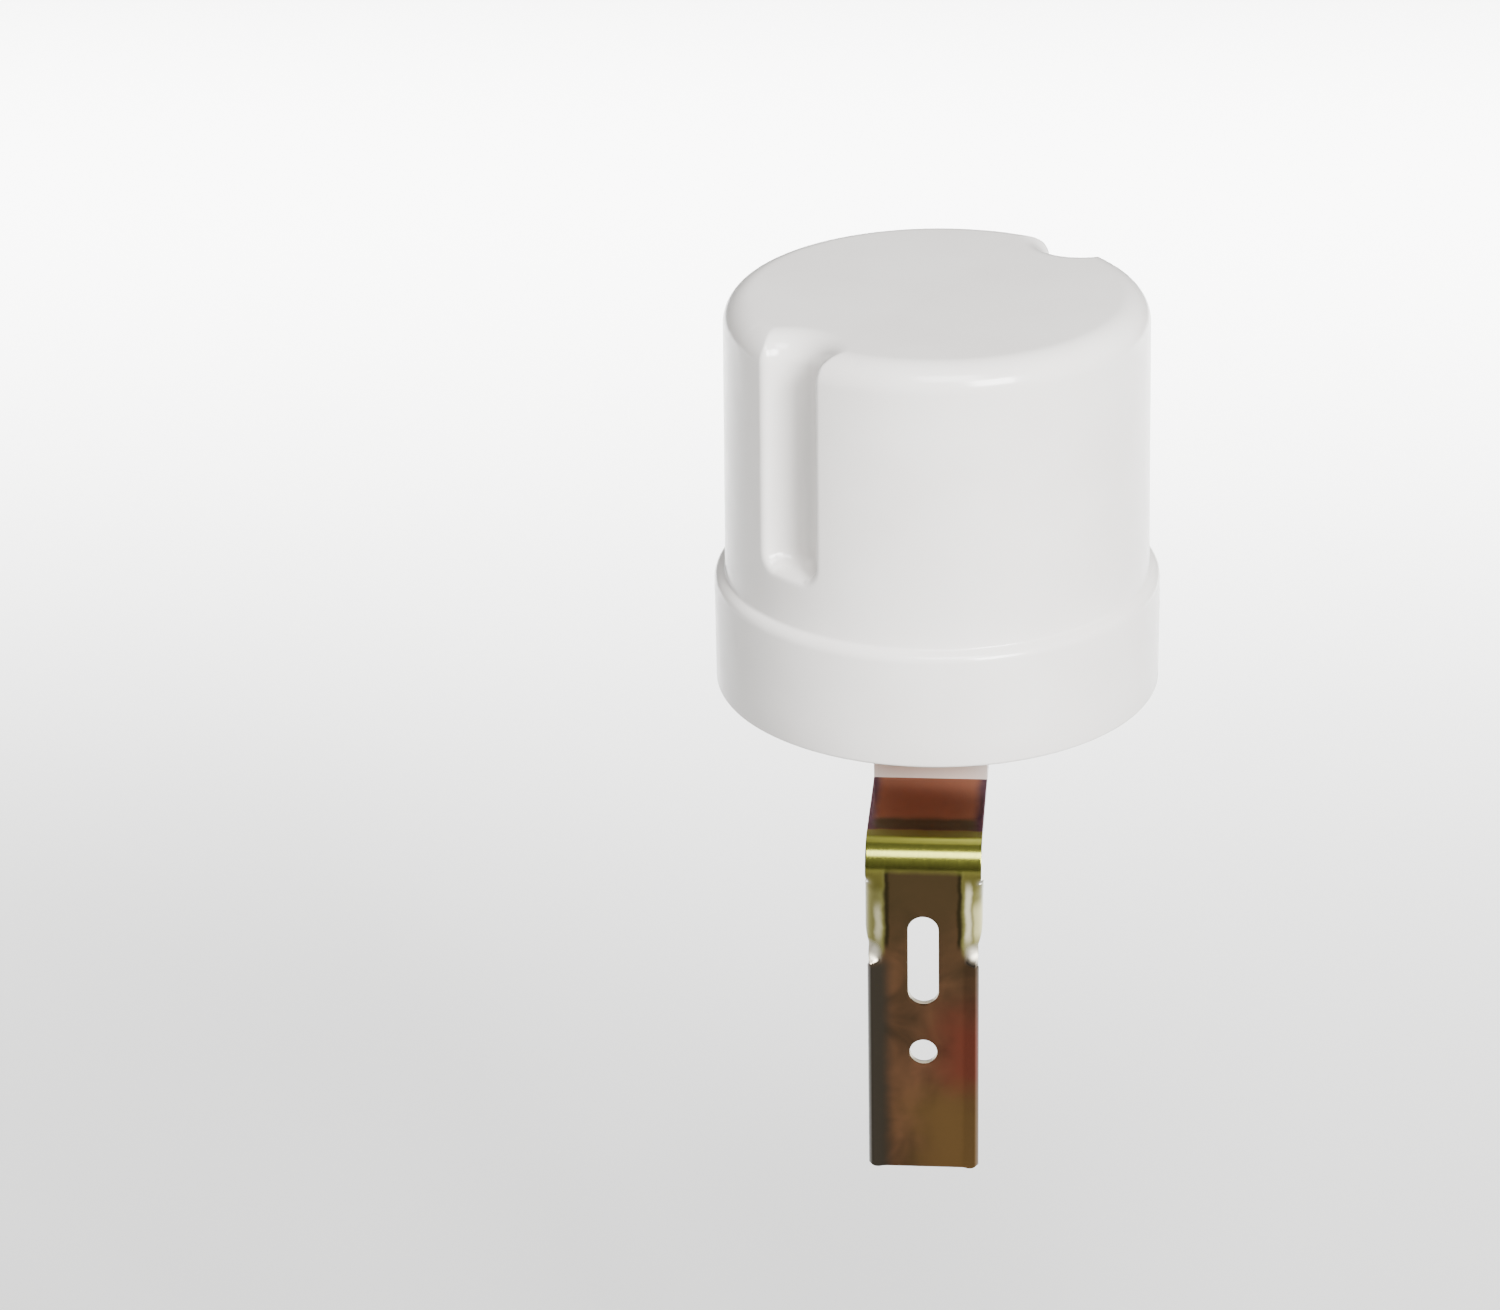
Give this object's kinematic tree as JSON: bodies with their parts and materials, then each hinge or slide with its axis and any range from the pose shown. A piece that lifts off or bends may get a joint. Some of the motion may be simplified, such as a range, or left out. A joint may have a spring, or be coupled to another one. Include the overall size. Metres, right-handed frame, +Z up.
{
  "type": "photocell switch",
  "caption": "White round-capped photocell switch on a folded plated steel bracket with a slot and a screw hole, switching a lamp at dusk through a relay on an upright circuit board.",
  "frame": {"origin": "centre of the bracket's fixing hole, on the plate face that meets the support", "axes": "+Z up along the cap's axis, +Y from the support towards the cap, +X to the right as seen from the support's side"},
  "size_m": [0.074, 0.0858, 0.1353],
  "materials": {
    "cap_plastic": "glossy moulded white",
    "base_plastic": "satin moulded white",
    "plated_steel": "yellow-passivated zinc plating, iridescent",
    "screw_steel": "bright zinc plating",
    "board_laminate": "phenolic paper laminate",
    "cell_face": "clear lacquer over the sensing track",
    "tinned_wire": "tinned wire",
    "sleeve_plastic": "black sleeve",
    "relay_shell": "moulded blue",
    "relay_floor": "moulded black",
    "relay_iron": "nickel-plated iron",
    "bobbin_plastic": "moulded natural",
    "winding_copper": "enamelled copper wire",
    "contact_brass": "rolled brass",
    "film_coat": "dipped epoxy",
    "can_sleeve": "shrunk sleeve",
    "diode_epoxy": "moulded epoxy",
    "zener_coat": "glass bead",
    "resistor_coat": "lacquered",
    "varistor_coat": "dipped epoxy"
  },
  "bodies": {
    "housing": {"cap": "cap_plastic", "base": "base_plastic", "bracket": "plated_steel", "cap_screws": "screw_steel", "bracket_screws": "screw_steel", "circuit_board": "board_laminate", "photocell": "cell_face", "photocell_leads": "tinned_wire", "photocell_sleeves": "sleeve_plastic", "relay_case": "relay_shell", "relay_base": "relay_floor", "relay_yoke": "relay_iron", "relay_core": "relay_iron", "relay_bobbin": "bobbin_plastic", "relay_winding": "winding_copper", "relay_coil_pins": "tinned_wire", "relay_closed_contact": "contact_brass", "relay_open_contact": "contact_brass", "dropper_capacitor": "film_coat", "smoothing_capacitor": "can_sleeve", "timing_capacitor": "can_sleeve", "rectifier_diodes": "diode_epoxy", "zener_diode": "zener_coat", "driver_transistor": "diode_epoxy", "resistors": "resistor_coat", "varistor": "varistor_coat"},
    "armature": {"relay_armature": "relay_iron", "relay_contact_blade": "contact_brass"}
  },
  "joints": [
    {"name": "armature_hinge", "type": "hinge", "parent": "housing", "child": "armature", "pos_m": [-0.0226, 0.04045, 0.0687], "axis": [0, 0, 1], "range_deg": [0, 3.2], "stiffness_Nm_per_rad": 0.02, "springref_deg": -2.86}
  ]
}
